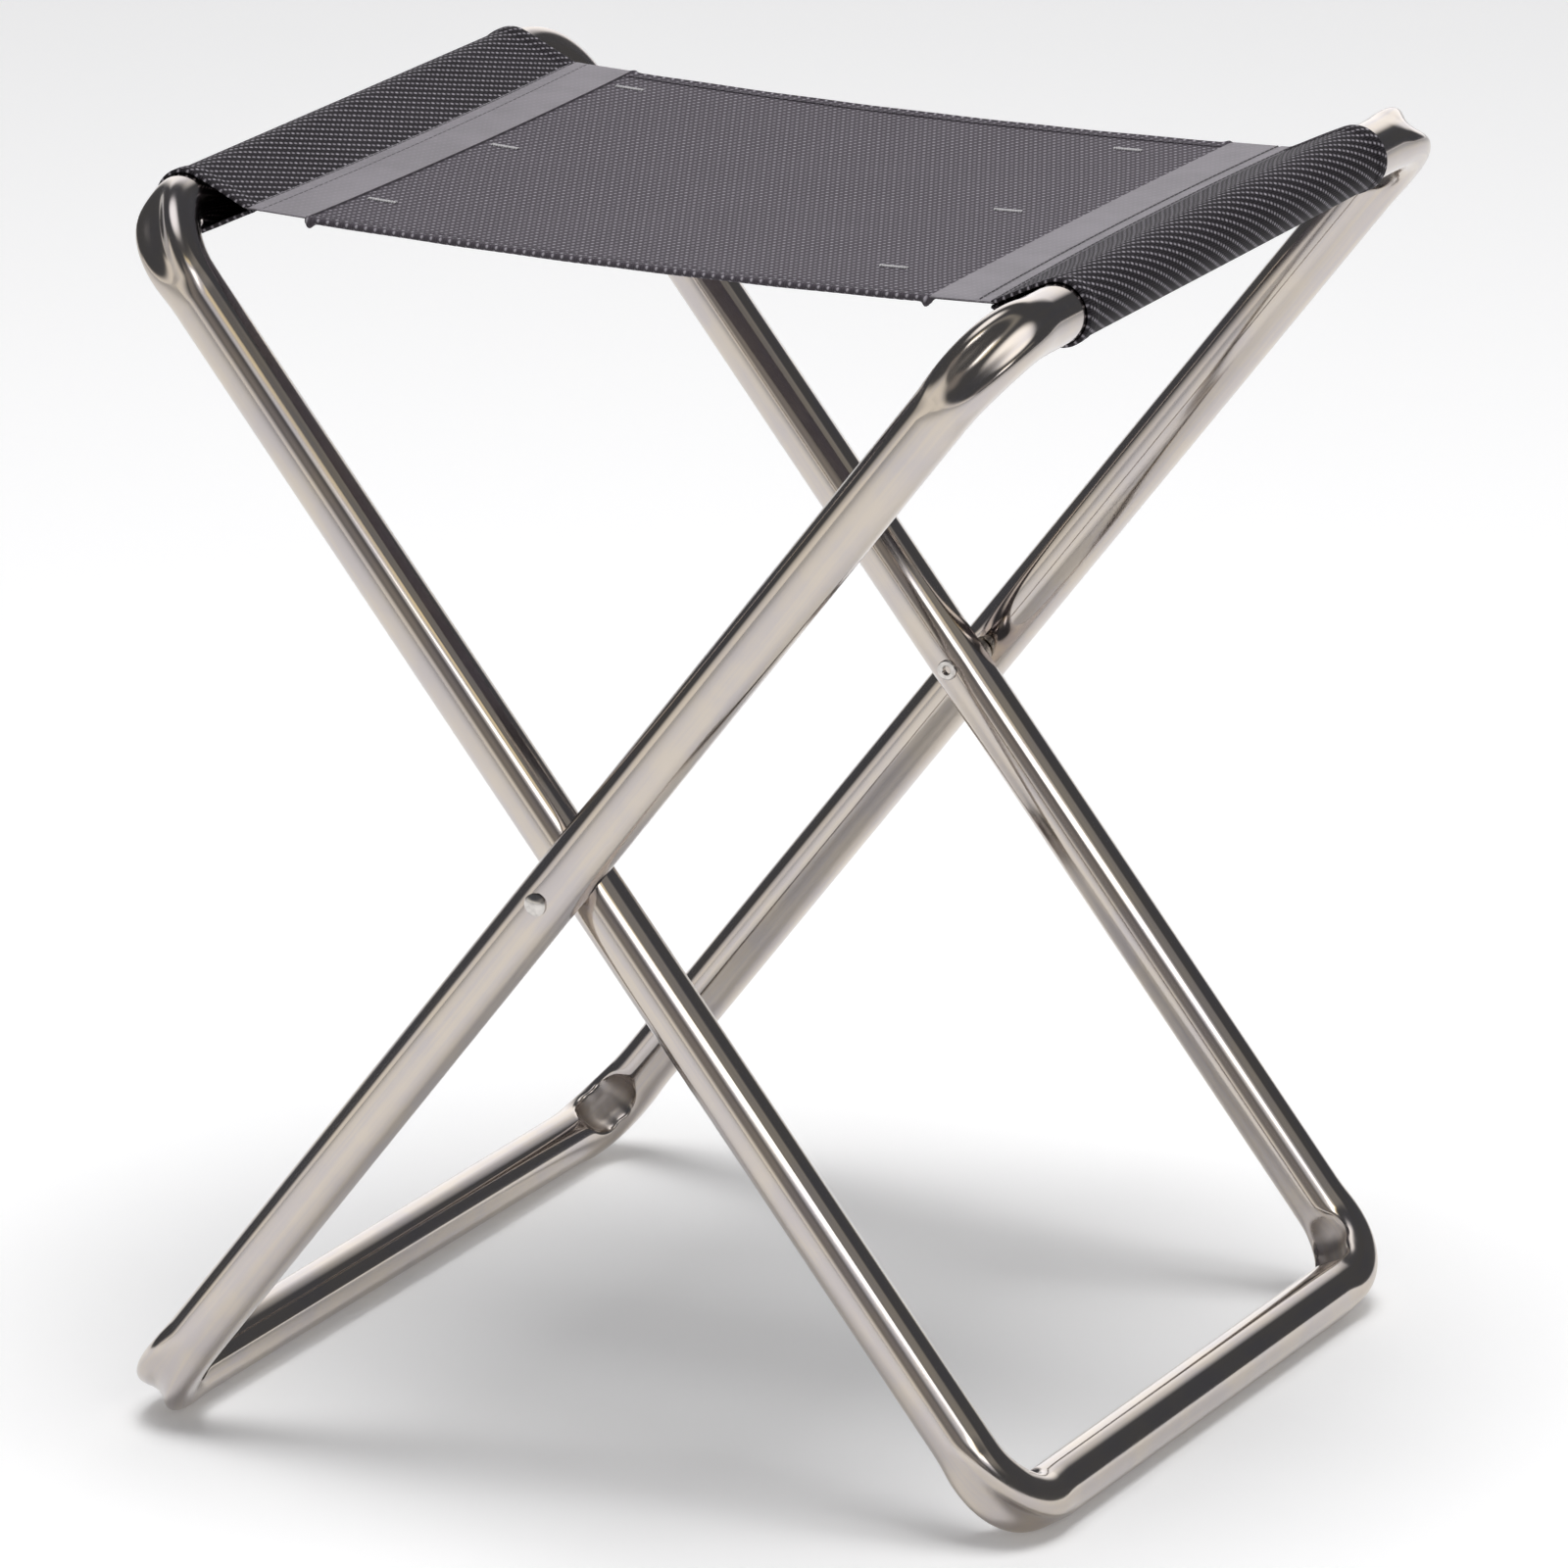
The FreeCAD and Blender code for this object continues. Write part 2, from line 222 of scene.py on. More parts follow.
def mix_colour(tree, factor, a, b):
    node = tree.nodes.new("ShaderNodeMix")
    node.data_type = "RGBA"
    if isinstance(factor, (int, float)):
        node.inputs[0].default_value = factor
    else:
        tree.links.new(factor, node.inputs[0])
    for socket, value in ((node.inputs[6], a), (node.inputs[7], b)):
        if isinstance(value, tuple):
            socket.default_value = (*value, 1)
        else:
            tree.links.new(value, socket)
    return node.outputs[2]


def noise(tree, vector, scale, detail=3.0, roughness=0.5):
    node = tree.nodes.new("ShaderNodeTexNoise")
    node.inputs["Scale"].default_value = scale
    node.inputs["Detail"].default_value = detail
    node.inputs["Roughness"].default_value = roughness
    tree.links.new(vector, node.inputs["Vector"])
    return node.outputs["Fac"]


def object_position(tree, scale=(1, 1, 1)):
    place = tree.nodes.new("ShaderNodeTexCoord")
    mapping = tree.nodes.new("ShaderNodeMapping")
    mapping.inputs["Scale"].default_value = scale
    tree.links.new(place.outputs["Object"], mapping.inputs["Vector"])
    return mapping.outputs[0]


def bump(tree, shader, height, strength, distance):
    node = tree.nodes.new("ShaderNodeBump")
    node.inputs["Strength"].default_value = strength
    node.inputs["Distance"].default_value = distance
    tree.links.new(height, node.inputs["Height"])
    tree.links.new(node.outputs[0], shader.inputs["Normal"])


WARP_PITCH = 0.9625 * MM     # dark yarns that run along Y
WEFT_PITCH = 1.98 * MM       # rows of flecks, one to each pale yarn that runs along X
FLECK_REPEAT = 4             # a fleck shows over every fourth dark yarn
FLECK_SQUEEZE = 1.45         # flattens a fleck along Y


def weave(tree):
    """The cloth's pattern: how much fleck shows, and how high the yarns stand."""
    uv = tree.nodes.new("ShaderNodeUVMap")
    uv.uv_map = "weave"
    split = tree.nodes.new("ShaderNodeSeparateXYZ")
    tree.links.new(uv.outputs[0], split.inputs[0])
    warp = math_node(tree, "DIVIDE", split.outputs[0], WARP_PITCH)
    weft = math_node(tree, "DIVIDE", split.outputs[1], WEFT_PITCH)
    row = math_node(tree, "FLOOR", weft)
    shifted = math_node(tree, "SUBTRACT", warp, row)
    repeat = math_node(tree, "DIVIDE", shifted, FLECK_REPEAT)
    phase = math_node(tree, "SUBTRACT", math_node(tree, "FRACT", repeat), 0.5)
    across = math_node(tree, "MULTIPLY", phase, FLECK_REPEAT)
    along = math_node(tree, "SUBTRACT", math_node(tree, "FRACT", weft), 0.5)
    across_part = math_node(tree, "POWER", math_node(tree, "ABSOLUTE", across), 2.0)
    squeezed = math_node(tree, "MULTIPLY", along, FLECK_SQUEEZE)
    along_part = math_node(tree, "POWER", math_node(tree, "ABSOLUTE", squeezed), 2.0)
    distance = math_node(tree, "SQRT", math_node(tree, "ADD", across_part, along_part))
    fleck = range_node(tree, distance, 0.88, 0.15)
    parity = math_node(tree, "PINGPONG", row, 1.0)
    lit = math_node(tree, "MULTIPLY", fleck, range_node(tree, parity, 0.0, 1.0, 1.0, 0.72))
    yarn = math_node(tree, "PINGPONG", math_node(tree, "SUBTRACT", warp, 0.5), 0.5)
    yarn_high = range_node(tree, yarn, 0.0, 0.4)
    return lit, fleck, yarn_high


def cloth_material(name, lift):
    """Charcoal weave with pale flecks. Lift brightens its dark yarns with painted light, which makes a
    lighter copy of the same cloth.
    """
    material = bpy.data.materials.new(name)
    tree, shader = node_tree(material)
    lit, fleck, yarn_high = weave(tree)
    place = object_position(tree)
    slow = noise(tree, place, 35.0)
    fine = noise(tree, place, 1800.0, 2.0)
    # the lift is painted light added to every dark yarn colour
    deep, raised, rubbed = (
        (level + lift, 0.88 * (level + lift), 1.04 * (level + lift)) for level in (0.006, 0.028, 0.035)
    )
    dark = mix_colour(tree, yarn_high, deep, raised)
    worn = mix_colour(tree, range_node(tree, slow, 0.35, 0.7, 0.0, 0.25), dark, rubbed)
    pale = mix_colour(tree, fine, (0.25, 0.235, 0.26), (0.40, 0.375, 0.415))
    colour = mix_colour(tree, lit, worn, pale)
    tree.links.new(colour, shader.inputs["Base Color"])
    shader.inputs["Roughness"].default_value = 0.75
    shader.inputs["Specular IOR Level"].default_value = 0.15
    shader.inputs["Sheen Weight"].default_value = 0.04
    shader.inputs["Sheen Roughness"].default_value = 0.3
    height = math_node(tree, "ADD", math_node(tree, "MULTIPLY", yarn_high, 0.6), fleck)
    height = math_node(tree, "ADD", height, math_node(tree, "MULTIPLY", fine, 0.3))
    bump(tree, shader, height, 0.55, 0.12 * MM)
    return material


def tape_material():
    material = bpy.data.materials.new("seam_tape")
    tree, shader = node_tree(material)
    lit, fleck, _ = weave(tree)
    place = object_position(tree)
    slow = noise(tree, place, 60.0)
    fine = noise(tree, place, 2500.0, 2.0)
    patches = range_node(tree, slow, 0.3, 0.7)
    base = mix_colour(tree, patches, (0.155, 0.143, 0.158), (0.184, 0.169, 0.188))
    ribbed = mix_colour(tree, math_node(tree, "MULTIPLY", lit, 0.35), base, (0.27, 0.25, 0.275))
    tree.links.new(ribbed, shader.inputs["Base Color"])
    shader.inputs["Roughness"].default_value = 0.5
    shader.inputs["Specular IOR Level"].default_value = 0.35
    ribs = math_node(tree, "MULTIPLY", fleck, 0.5)
    height = math_node(tree, "ADD", ribs, math_node(tree, "MULTIPLY", fine, 0.4))
    bump(tree, shader, height, 0.3, 0.06 * MM)
    return material


def thread_material(name, dark, light):
    material = bpy.data.materials.new(name)
    tree, shader = node_tree(material)
    fine = noise(tree, object_position(tree), 3000.0, 2.0)
    tree.links.new(mix_colour(tree, fine, dark, light), shader.inputs["Base Color"])
    shader.inputs["Roughness"].default_value = 0.6
    shader.inputs["Sheen Weight"].default_value = 0.2
    bump(tree, shader, fine, 0.4, 0.1 * MM)
    return material


def polished_tube_material():
    """Bright polished tube, with faint drawing lines along it and satin where it is unpolished."""
    material = bpy.data.materials.new("polished_tube")
    tree, shader = node_tree(material)
    drawn = tree.nodes.new("ShaderNodeAttribute")
    drawn.attribute_name = "drawn"
    stretch = tree.nodes.new("ShaderNodeMapping")
    stretch.inputs["Scale"].default_value = (420.0, 420.0, 5.0)
    tree.links.new(drawn.outputs["Vector"], stretch.inputs["Vector"])
    lines = noise(tree, stretch.outputs[0], 1.0, 4.0, 0.6)
    blotch = noise(tree, object_position(tree), 45.0, 3.0)
    half_blotch = math_node(tree, "MULTIPLY", blotch, 0.5)
    tint = math_node(tree, "ADD", half_blotch, math_node(tree, "MULTIPLY", lines, 0.5))
    share = range_node(tree, tint, 0.38, 0.64)
    colour = mix_colour(tree, share, (0.58, 0.52, 0.455), (0.515, 0.475, 0.465))
    tree.links.new(colour, shader.inputs["Base Color"])
    shader.inputs["Metallic"].default_value = 1.0
    unpolished = tree.nodes.new("ShaderNodeAttribute")
    unpolished.attribute_name = "unpolished"
    grain = noise(tree, object_position(tree), 700.0, 3.0)
    rough = range_node(tree, lines, 0.35, 0.75, 0.07, 0.17)
    satin = math_node(tree, "MULTIPLY", unpolished.outputs["Fac"], 0.36)
    tree.links.new(math_node(tree, "ADD", rough, satin), shader.inputs["Roughness"])
    height = math_node(tree, "MULTIPLY", math_node(tree, "MULTIPLY", grain, 6.0), unpolished.outputs["Fac"])
    bump(tree, shader, math_node(tree, "ADD", lines, height), 0.08, 0.02 * MM)
    return material


def metal_material(name, colour, roughness, scale):
    material = bpy.data.materials.new(name)
    tree, shader = node_tree(material)
    spots = noise(tree, object_position(tree), scale, 4.0)
    darker = tuple(0.8 * c for c in colour)
    spotted = mix_colour(tree, range_node(tree, spots, 0.35, 0.7), colour, darker)
    tree.links.new(spotted, shader.inputs["Base Color"])
    shader.inputs["Metallic"].default_value = 1.0
    tree.links.new(range_node(tree, spots, 0.3, 0.7, roughness, 2 * roughness), shader.inputs["Roughness"])
    bump(tree, shader, spots, 0.06, 0.05 * MM)
    return material


TUBE = polished_tube_material()
RIVET = metal_material("rivet_steel", (0.66, 0.63, 0.60), 0.12, 400.0)
SPIGOT = metal_material("plain_aluminium", (0.6, 0.6, 0.61), 0.3, 200.0)
SPACER = metal_material("spacer_metal", (0.52, 0.50, 0.47), 0.22, 300.0)
# The seat's panel, hems and flap use the sleeve cloth with painted light added to its dark yarns, standing in
# for the up-facing seat's extra light from above and its grazing view
PANEL_CLOTH_PAINTED_LIGHTER = cloth_material("seat_cloth", 0.045)
SLEEVE_CLOTH = cloth_material("sleeve_cloth", 0.0)
TAPE = tape_material()
TACK = thread_material("tack_thread", (0.36, 0.35, 0.36), (0.56, 0.55, 0.56))
THREAD = thread_material("dark_thread", (0.085, 0.08, 0.088), (0.14, 0.132, 0.145))


# ---------------------------------------------------------------- frames

def crushed_section(run):
    """Rows of (u, v) round the tube, at a distance from the nearest bend's middle, and
    where polishing can't reach. u points away from the bend's centre, v across the bend.
    """
    crush = math.cos(math.pi / 2 * min(abs(run) / CRUSH_REACH, 1)) ** 2
    turn = np.linspace(0, 2 * math.pi, ROUND_POINTS, endpoint=False)
    outer = np.cos(turn) > 0
    power = np.where(outer, 2 + (CRUSH_SQUARE - 2) * crush, 2.0)
    deep = TUBE_R + crush * (CRUSH_DEEP - TUBE_R)
    wide = TUBE_R + crush * (CRUSH_WIDE - TUBE_R)
    u = deep * np.sign(np.cos(turn)) * np.abs(np.cos(turn)) ** (2 / power)
    v = wide * np.sign(np.sin(turn)) * np.abs(np.sin(turn)) ** (2 / power)
    saddle = crush * SADDLE * np.cos(math.pi / 2 * np.clip(np.abs(v) / SADDLE_HALF, 0, 1)) ** 2
    half = BOWL_HALF - BOWL_PINCH * math.exp(-((run / BOWL_RIDGE_REACH) ** 2))
    far = np.hypot(v / half, run / BOWL_REACH)
    ridge = BOWL_RIDGE * math.exp(-((run / BOWL_RIDGE_REACH) ** 2))
    bowl = (BOWL - ridge) * (1 - np.clip(far, 0, 1) ** 3) ** 2
    lip = LIP * crush * np.exp(-(((far - 1.08) / LIP_WIDTH) ** 2))
    u = np.where(outer, u - saddle, u + bowl - lip)
    unpolished = np.maximum(0.22 * crush, np.where(outer, 0, 1 - smoothstep(0.55, 1.0, far)))
    return np.stack([u, v], axis=1), unpolished


def loop_parts(half_width):
    """The straight runs and bends of a flat loop, in the YZ plane about its pivot, in order."""
    parts = []
    corners = [(-1, 1), (1, 1), (1, -1), (-1, -1)]
    for number, (side, up) in enumerate(corners):
        leg = LEG_ABOVE if up > 0 else LEG_BELOW
        centre = np.array([0, side * (half_width - BEND_R), up * (leg - BEND_R)])
        from_side, from_up = np.array([0, side, 0.0]), np.array([0, 0, float(up)])
        first, last = (from_side, from_up) if number % 2 == 0 else (from_up, from_side)
        parts.append(("bend", centre, first, last, math.pi / 2 * BEND_R))
        next_side, next_up = corners[(number + 1) % 4]
        next_leg = LEG_ABOVE if next_up > 0 else LEG_BELOW
        next_centre = np.array([0, next_side * (half_width - BEND_R), next_up * (next_leg - BEND_R)])
        here, there = centre + BEND_R * last, next_centre + BEND_R * last
        parts.append(("run", here, there, last, float(np.linalg.norm(there - here))))
    return parts


def loop_place(parts, travelled):
    """Centre of the tube and the way out of the loop, at a distance along it."""
    for kind, a, b, last, length in parts:
        if travelled <= length:
            break
        travelled -= length
    share = travelled / length
    if kind == "run":
        return a + (b - a) * share, last
    away = b * math.cos(math.pi / 2 * share) + last * math.sin(math.pi / 2 * share)
    return a + BEND_R * away, away


def loop_marks(parts):
    """Distances along a loop: close together at the bends and the pivots, far apart between."""
    total = sum(part[-1] for part in parts)
    bends, pivots, before = [], [], 0.0
    for kind, a, b, last, length in parts:
        if kind == "bend":
            bends.append(before + length / 2)
        elif a[2] * b[2] < 0:
            pivots.append(before + abs(a[2]))
        before += length
    close = [(middle, CRUSH_REACH) for middle in bends] + [(middle, DENT_ZONE) for middle in pivots]
    fine = [np.arange(m - r, m + r + BEND_STEP / 2, BEND_STEP) for m, r in close]
    coarse = [p for p in np.arange(0, total, STRAIGHT_STEP)
              if all(min(abs(p - m), total - abs(p - m)) > r + STRAIGHT_STEP / 3 for m, r in close)]
    marks = sorted(float(p) % total for p in [*np.concatenate(fine), *coarse])
    return marks, bends, total


def frame_tube(name, half_width, side, body, node):
    """A bright tube loop, crushed at its bends and pressed in a little at the pivots."""
    parts = loop_parts(half_width)
    marks, bends, total = loop_marks(parts)
    rows, rough = [], []
    for mark in marks:
        centre, away = loop_place(parts, mark)
        runs = [(mark - middle + total / 2) % total - total / 2 for middle in bends]
        nearest = min(range(4), key=lambda k: abs(runs[k]))
        run = runs[nearest]
        if half_width < OUTER_HALF and (nearest == 0 and run > 0 or nearest == 1 and run < 0):
            run *= CRUSH_REACH / SLEEVED_REACH
        section, unpolished = crushed_section(run)
        rough.append(unpolished)
        ring = centre + section[:, :1] * away + section[:, 1:] * np.array([1.0, 0, 0])
        if abs(away[1]) > 0.99:
            reach = np.hypot(ring[:, 0], ring[:, 2])
            share = (ring[:, 1] - centre[1]) / TUBE_R
            facing = share * np.sign(centre[1]) * (1 if half_width < OUTER_HALF else -1) > 0
            depth = np.where(facing, DENT_DEEP, DENT_SHALLOW)
            ring[:, 1] -= depth * share * np.exp(-((reach / DENT_RADIUS) ** 2))
        rows.append(ring)
    points = np.concatenate(rows)
    tilt = np.array(Matrix.Rotation(side * LEAN, 3, "Y"))
    points = points @ tilt.T + np.array([0, 0, PIVOT_Z])
    faces = grid_faces(len(rows), ROUND_POINTS, close_rows=True, close_columns=True, flip=True)
    piece = new_object(name, points, faces, body, TUBE, [node])
    worn = piece.data.attributes.new("unpolished", "FLOAT", "POINT")
    worn.data.foreach_set("value", np.concatenate(rough))
    turn = np.linspace(0, 2 * math.pi, ROUND_POINTS, endpoint=False)
    drawn_rows = []
    for mark in marks:
        length_way = np.full(ROUND_POINTS, abs(mark - total / 2))
        drawn_rows.append(np.stack([TUBE_R * np.cos(turn), TUBE_R * np.sin(turn), length_way], axis=1))
    drawn = piece.data.attributes.new("drawn", "FLOAT_VECTOR", "POINT")
    drawn.data.foreach_set("vector", np.concatenate(drawn_rows).ravel())
    return piece


def lathe(profile, side, turns=48):
    """Points and faces of a closed profile of (radius, y) turned about the pivot's axis."""
    points = []
    for radius, y in profile:
        for k in range(turns):
            angle = 2 * math.pi * k / turns
            points.append((radius * math.cos(angle), side * y, PIVOT_Z + radius * math.sin(angle)))
    faces = grid_faces(len(profile), turns, close_columns=True, flip=side < 0)
    count = len(profile)
    for row, flip in ((0, side > 0), (count - 1, side < 0)):
        centre = len(points)
        points.append((0, side * profile[row][1], PIVOT_Z))
        for k in range(turns):
            a, b = row * turns + k, row * turns + (k + 1) % turns
            faces.append((centre, b, a) if flip else (centre, a, b))
    return points, faces


def arc(centre_r, centre_y, radius, start, end, steps=8):
    """Profile points on an arc, with angles in degrees from +radius towards +y."""
    return [
        (centre_r + radius * math.cos(math.radians(a)), centre_y + radius * math.sin(math.radians(a)))
        for a in np.linspace(start, end, steps)
    ]


def both_sides(profile):
    points, faces = [], []
    for side in (-1, 1):
        more, more_faces = lathe(profile, side)
        faces += [tuple(i + len(points) for i in f) for f in more_faces]
        points += more
    return points, faces


HEAD_R = 4.25 * MM
HEAD_RIM = 0.7 * MM
HEAD_HEIGHT = 2.0 * MM
HEAD_SKIRT = 1.2 * MM
TAIL_R = 3.95 * MM
TAIL_ROUND = 0.5 * MM
TAIL_BORE = 1.6 * MM
TAIL_BORE_DEPTH = 4 * MM
AXIS_R = 0.01 * MM        # where the bore's floor starts, just off the axis
TUBE_GAP = 0.1 * MM       # from a tube to a rivet's tail or a spacer
SHANK_R = 2.5 * MM
SPACER_R = 6.0 * MM
SPACER_ROUND = 0.6 * MM


def rivets():
    """Both rivets, each with a domed head outside and a bored, rolled tail inside."""
    seat = OUTER_HALF + TUBE_R
    tail = INNER_HALF - TUBE_R - TUBE_GAP
    rise = HEAD_HEIGHT - HEAD_RIM
    dome_r = (HEAD_R ** 2 + rise ** 2) / (2 * rise)
    edge = math.degrees(math.acos(HEAD_R / dome_r))
    roll = TAIL_R - TAIL_ROUND
    floor_y = tail + TAIL_BORE_DEPTH
    profile = [(AXIS_R, floor_y), (TAIL_BORE, floor_y), (TAIL_BORE, tail)]
    profile += arc(TAIL_BORE + TAIL_ROUND, tail - TAIL_ROUND, TAIL_ROUND, 180, 270)
    profile += arc(roll, tail - TAIL_ROUND, TAIL_ROUND, 270, 450, 14)
    skirt = seat - HEAD_SKIRT
    profile += [(SHANK_R, tail), (SHANK_R, skirt), (HEAD_R, skirt), (HEAD_R, seat + HEAD_RIM)]
    profile += arc(0, seat + HEAD_HEIGHT - dome_r, dome_r, edge + 2, 89, 10)
    points, faces = both_sides(profile)
    return new_object("pivot_rivets_look", points, faces, "outer_frame", RIVET,
                      ["pivot_rivets"], sharp=50)


def spacers():
    """A turned washer between the legs at each pivot."""
    start = INNER_HALF + TUBE_R + TUBE_GAP
    end = OUTER_HALF - TUBE_R - TUBE_GAP
    edge = SPACER_R - SPACER_ROUND
    profile = [(SHANK_R, start)]
    profile += arc(edge, start + SPACER_ROUND, SPACER_ROUND, -90, 0)
    profile += arc(edge, end - SPACER_ROUND, SPACER_ROUND, 0, 90)
    profile += [(SHANK_R, end)]
    points, faces = both_sides(profile)
    return new_object("pivot_spacers_look", points, faces, "outer_frame", SPACER,
                      ["pivot_spacers"], sharp=50)


frame_tube("outer_frame_look", OUTER_HALF, 1, "outer_frame", "outer_frame_tube")
frame_tube("inner_frame_look", INNER_HALF, -1, "inner_frame", "inner_frame_tube")
rivets()
spacers()
for node in ("outer_frame_spigot", "inner_frame_spigot"):
    frame["nodes"][node].data.materials.clear()
    frame["nodes"][node].data.materials.append(SPIGOT)


# ---------------------------------------------------------------- seat

BODY = {1: "seat_half_right", -1: "seat_half_left"}
SIDE_NAME = {1: "right", -1: "left"}
ALONG_STEPS = 100


def seam_bow(y):
    """The seams are pulled outward towards the ends of the sleeves."""
    return SEAM_BOW * ((y / SEAT_HALF) ** 2 - 0.5)


def bow_at(x, y):
    """How far the seam's pull moves a point outward. The middle of the seat stays in place."""
    return seam_bow(y) * smoothstep(0.6 * SEAM_X, SEAM_X, x)


def seat_height(x, y):
    """Height of the middle of the cloth, at a distance x from the mid-line."""
    inward = 1 - np.clip(x / SEAM_X, 0, 1) ** 2
    return BAR_Z - SAG * inward - DISH * inward * (1 - (y / SEAT_HALF) ** 2)


def strip_grid(x_start, x_end, y_start, y_end, x_steps, y_steps):
    """A grid of middle points over part of the right half of the seat, and its weave map."""
    share = np.linspace(0, 1, x_steps)[:, None]
    y = np.linspace(y_start, y_end, y_steps)[None, :]
    flat_x = x_start + (x_end - x_start) * share + 0 * y
    bent_x = flat_x + bow_at(flat_x, y)
    wide_y = y + 0 * share
    middle = np.stack([bent_x, wide_y, seat_height(flat_x, wide_y)], axis=2)
    return middle, np.stack([flat_x, wide_y], axis=2)


def add_cloth(name, side, grid, above, below, material, nodes, sharp):
    """A cloth sheet on one half of the seat, made from its grid and mirrored for the left."""
    middle, uv = grid
    points, faces, flat_uv = cloth_solid(middle, above, below, uv)
    points, faces = mirrored(points, faces, side)
    flat_uv = flat_uv * np.array([side, 1.0])
    return new_object(name, points, faces, BODY[side], material, nodes, flat_uv, sharp)


def panel(side):
    """Half of the seat cloth between its hems."""
    half = SEAT_HALF - HEM_WIDTH + LAP
    grid = strip_grid(0, SEAM_X, -half, half, 76, 90)
    thick = np.full(grid[0].shape[:2], PANEL_THICK / 2)
    return add_cloth("seat_panel_look_" + SIDE_NAME[side], side, grid, thick, thick, PANEL_CLOTH_PAINTED_LIGHTER,
                     ["seat_panel_" + SIDE_NAME[side]], 60)


KNOB_SWELL = 0.9          # the hem's rolled edge bulges where it meets the tape
KNOB_BACK = 1.3 * MM
KNOB_REACH = 1.3 * MM
ROPE_R = 1.25 * MM        # the hem's rolled edge
ROPE_LAY = 1.9 * MM       # half the length of one swell along it
FOLD_HALF = 0.85 * MM     # half the thickness of the hem's flat fold
HEM_ROW = 0.9 * MM        # from the hem's inner edge to its row of stitches
HEM_GROOVE = 0.35 * MM
HEM_GROOVE_REACH = 0.5 * MM


def hem(side, edge):
    """A rolled hem: a flat fold from the panel out to a rounded, rope-like edge."""
    profile = []
    outer = SEAT_HALF
    inner = SEAT_HALF - HEM_WIDTH
    for y in np.linspace(inner, outer - 2 * ROPE_R, 9):
        groove = HEM_GROOVE * math.exp(-(((y - inner - HEM_ROW) / HEM_GROOVE_REACH) ** 2))
        profile.append((y, FOLD_HALF - groove))
    for a in np.radians(np.linspace(130, -130, 21)):
        profile.append((outer - ROPE_R + ROPE_R * math.cos(a), ROPE_R * math.sin(a)))
    for y in np.linspace(outer - 2 * ROPE_R, inner, 9):
        profile.append((y, -FOLD_HALF))
    profile = np.array(profile)
    step = np.linalg.norm(np.diff(profile, axis=0), axis=1)
    along = inner + np.concatenate([[0], np.cumsum(step)])
    end = TAPE_INNER - 5 * MM
    x = np.concatenate([np.linspace(0, end, 60)[:-1], np.linspace(end, TAPE_INNER + LAP, 13)])
    swell = 1 + 0.035 * np.sin(math.pi * x / ROPE_LAY) + 0.05 * np.sin(x * 140 + 1.3 * edge)
    knob = KNOB_SWELL * np.exp(-(((x - TAPE_INNER + KNOB_BACK) / KNOB_REACH) ** 2))
    points, uv = [], []
    for k, here in enumerate(x):
        height = seat_height(np.array(here), np.array(edge * SEAT_HALF))
        bow = bow_at(here, SEAT_HALF)
        for (y, z), run in zip(profile, along):
            share = knob[k] * smoothstep(outer - 3 * ROPE_R, outer - ROPE_R, y)
            wide = y + share * (y - outer + 1.6 * ROPE_R)
            high = height + z * swell[k] * (1 + share) - 0.5 * ROPE_R * share
            points.append((here + bow, edge * wide, high))
            uv.append((here, edge * run))
    rows, columns = len(x), len(profile)
    faces = grid_faces(rows, columns, close_columns=True, flip=edge < 0)
    for row, flip in ((0, edge > 0), (rows - 1, edge < 0)):
        cap = [row * columns + j for j in range(columns)]
        faces.append(tuple(reversed(cap)) if flip else tuple(cap))
    points, faces = mirrored(points, faces, side)
    uv = np.array(uv) * np.array([side, 1.0])
    word = "front" if edge < 0 else "back"
    return new_object("%s_hem_look_%s" % (word, SIDE_NAME[side]), points, faces, BODY[side], PANEL_CLOTH_PAINTED_LIGHTER,
                      ["%s_hem_%s" % (word, SIDE_NAME[side])], uv, 60)


MOUTH_HEM = 7 * MM        # width of the folded hem at each mouth of a sleeve
MOUTH_FOLD = 0.7 * MM     # what that hem adds on the outside
MOUTH_ROW = 1.6 * MM      # from the hem's inner edge to its sewn channel
MOUTH_ROLL = 1.0 * MM     # its last part, which is rounded off
SLEEVE_SPREAD = 0.42 * MM    # how far the sleeve's two layers part at the seam, each way
GROOVE = 0.3 * MM         # depth of a sewn channel
SHALLOW_GROOVE = 0.1 * MM    # the same in the left tape
GROOVE_REACH = 0.6 * MM


def sleeve_path():
    """(x, z, length) along the sleeve: from the seam over the bar, round it and back below."""
    reach = BAR_X - SEAM_X
    lift = math.asin(SLEEVE_R / reach)
    straight = math.sqrt(reach ** 2 - SLEEVE_R ** 2)
    path = []
    for share in np.linspace(0, 1, 22)[:-1]:
        path.append((SEAM_X + straight * share * math.cos(lift), BAR_Z + straight * share * math.sin(lift)))
    start = math.pi / 2 + lift
    for share in np.linspace(0, 1, 56):
        a = start - share * (math.pi + 2 * lift)
        path.append((BAR_X + SLEEVE_R * math.cos(a), BAR_Z + SLEEVE_R * math.sin(a)))
    for share in np.linspace(1, 0, 22)[1:]:
        path.append((SEAM_X + straight * share * math.cos(lift), BAR_Z - straight * share * math.sin(lift)))
    path = np.array(path)
    path[:, 1] += np.linspace(SLEEVE_SPREAD, -SLEEVE_SPREAD, len(path))
    length = np.concatenate([[0], np.cumsum(np.linalg.norm(np.diff(path, axis=0), axis=1))])
    return path, length


